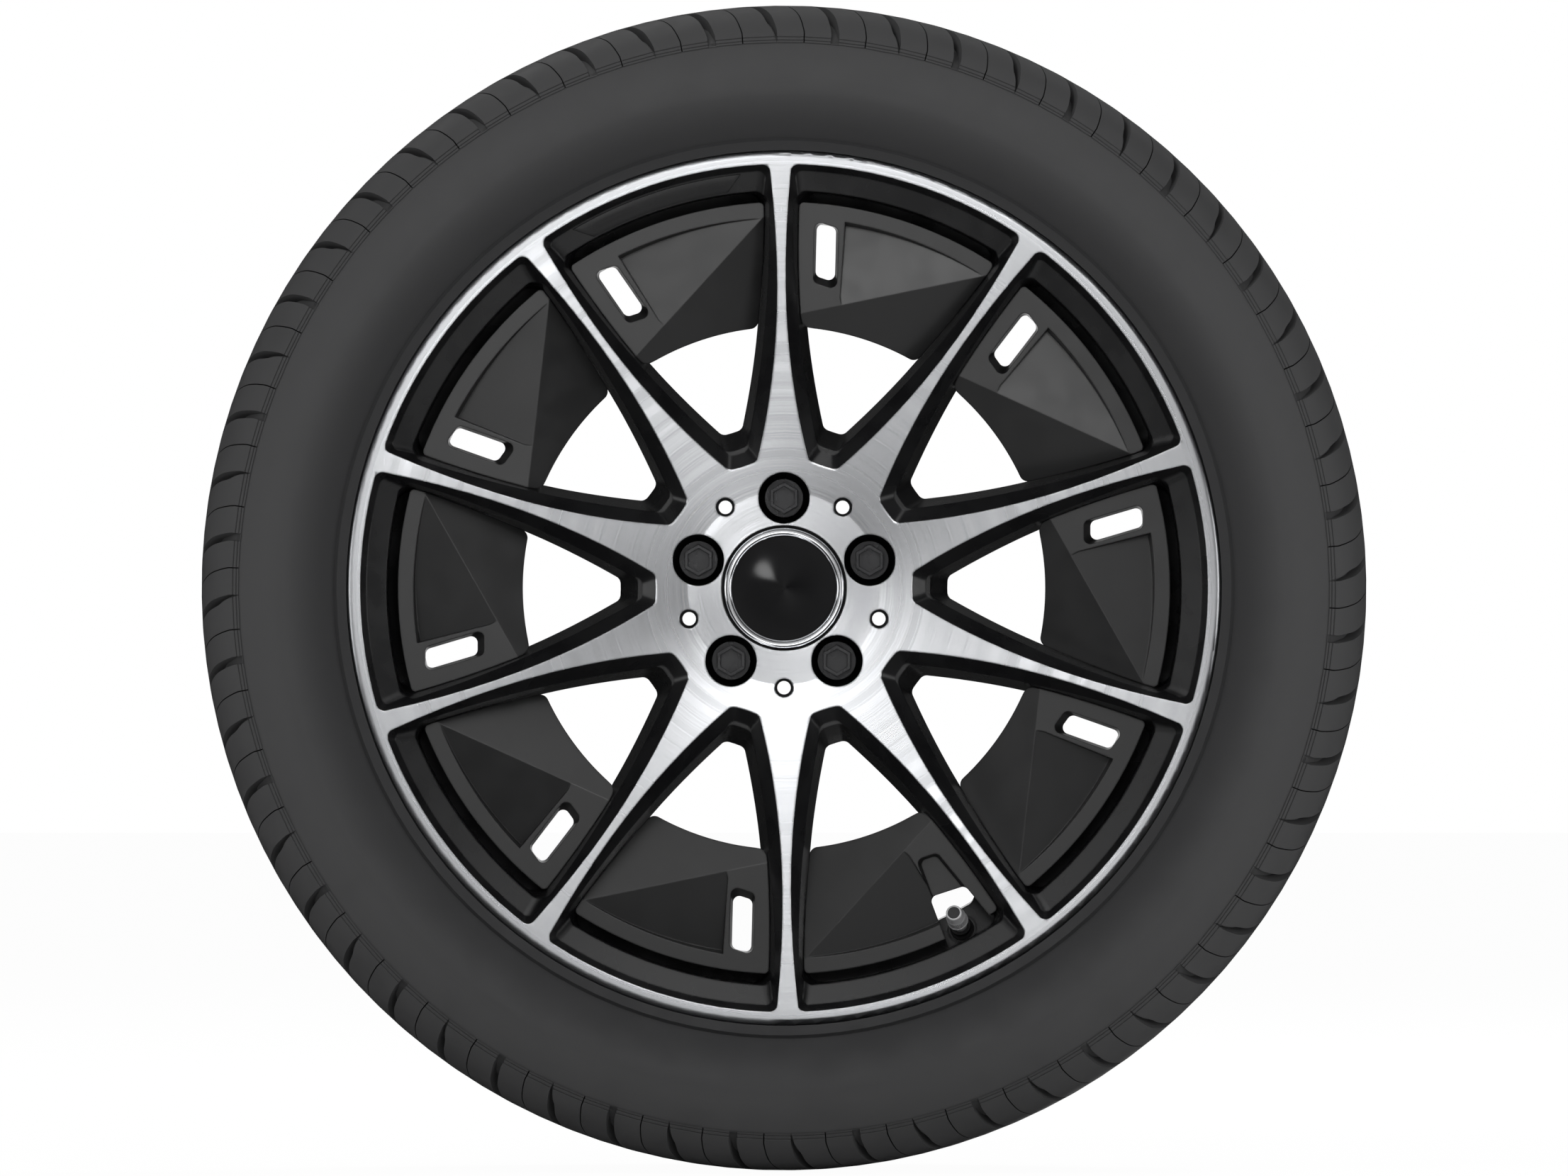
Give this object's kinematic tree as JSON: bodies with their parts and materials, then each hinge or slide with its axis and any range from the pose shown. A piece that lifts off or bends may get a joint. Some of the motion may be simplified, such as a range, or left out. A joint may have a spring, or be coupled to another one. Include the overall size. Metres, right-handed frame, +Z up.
{
  "type": "car wheel with tyre",
  "caption": "Cast multi-spoke alloy car wheel with machined spokes, dark aero inserts, low-profile tyre, wheel bolts, centre cap and capped inflation valve.",
  "frame": {"origin": "wheel centre: on the axle line, in the middle between the rim's bead seats and of the tyre's width", "axes": "+Y along the axle towards the car, the styled face looks along -Y, +Z is up with a spoke at the top"},
  "size_m": [0.7283, 0.245, 0.7282],
  "materials": {
    "alloy": "machined faces under clear coat, pockets gloss black",
    "tyre_rubber": "matt moulded rubber",
    "bolt_steel": "black satin coat",
    "insert_plastic": "satin black paint",
    "cap_bright": "bright plated",
    "cap_gloss": "gloss black lacquer",
    "cap_plastic": "moulded",
    "spring_steel": "drawn wire",
    "valve_metal": "turned and nickel plated",
    "valve_brass": "turned",
    "seal_rubber": "moulded",
    "sensor_plastic": "moulded, fine grain",
    "screw_steel": "zinc"
  },
  "bodies": {
    "wheel": {"alloy_wheel": "alloy", "tyre": "tyre_rubber", "wheel_bolts": "bolt_steel", "aero_insert_1": "insert_plastic", "aero_insert_2": "insert_plastic", "aero_insert_3": "insert_plastic", "aero_insert_4": "insert_plastic", "aero_insert_6": "insert_plastic", "aero_insert_7": "insert_plastic", "aero_insert_8": "insert_plastic", "aero_insert_9": "insert_plastic", "aero_insert_10": "insert_plastic", "aero_insert_valve": "insert_plastic", "centre_cap_ring": "cap_bright", "centre_cap_disc": "cap_gloss", "centre_cap_body": "cap_plastic", "centre_cap_spring": "spring_steel", "valve_stem": "valve_metal", "valve_nut": "valve_metal", "valve_core": "valve_brass", "valve_grommet": "seal_rubber", "pressure_sensor": "sensor_plastic", "sensor_screw": "screw_steel"},
    "valve_seal": {"valve_cap_seal": "seal_rubber"},
    "valve_cap": {"valve_cap": "valve_metal"},
    "core_pin": {"valve_core_pin": "valve_brass"}
  },
  "joints": [
    {"name": "seal_lift", "type": "slide", "parent": "wheel", "child": "valve_seal", "axis": [-0.1864, -0.9155, 0.3566], "range_m": [0, 0.00556]},
    {"name": "cap_spin", "type": "hinge", "parent": "valve_seal", "child": "valve_cap", "pos_m": [0.10611, -0.09773, -0.20297], "axis": [-0.1864, -0.9155, 0.3566], "range_deg": [0, 2520]},
    {"name": "pin_press", "type": "slide", "parent": "wheel", "child": "core_pin", "axis": [0.1864, 0.9155, -0.3566], "range_m": [0, 0.0012], "stiffness_N_per_m": 600}
  ],
  "couplings": [
    {"joint": "seal_lift", "follows": "cap_spin", "m_per_rad": 0.00012637}
  ]
}
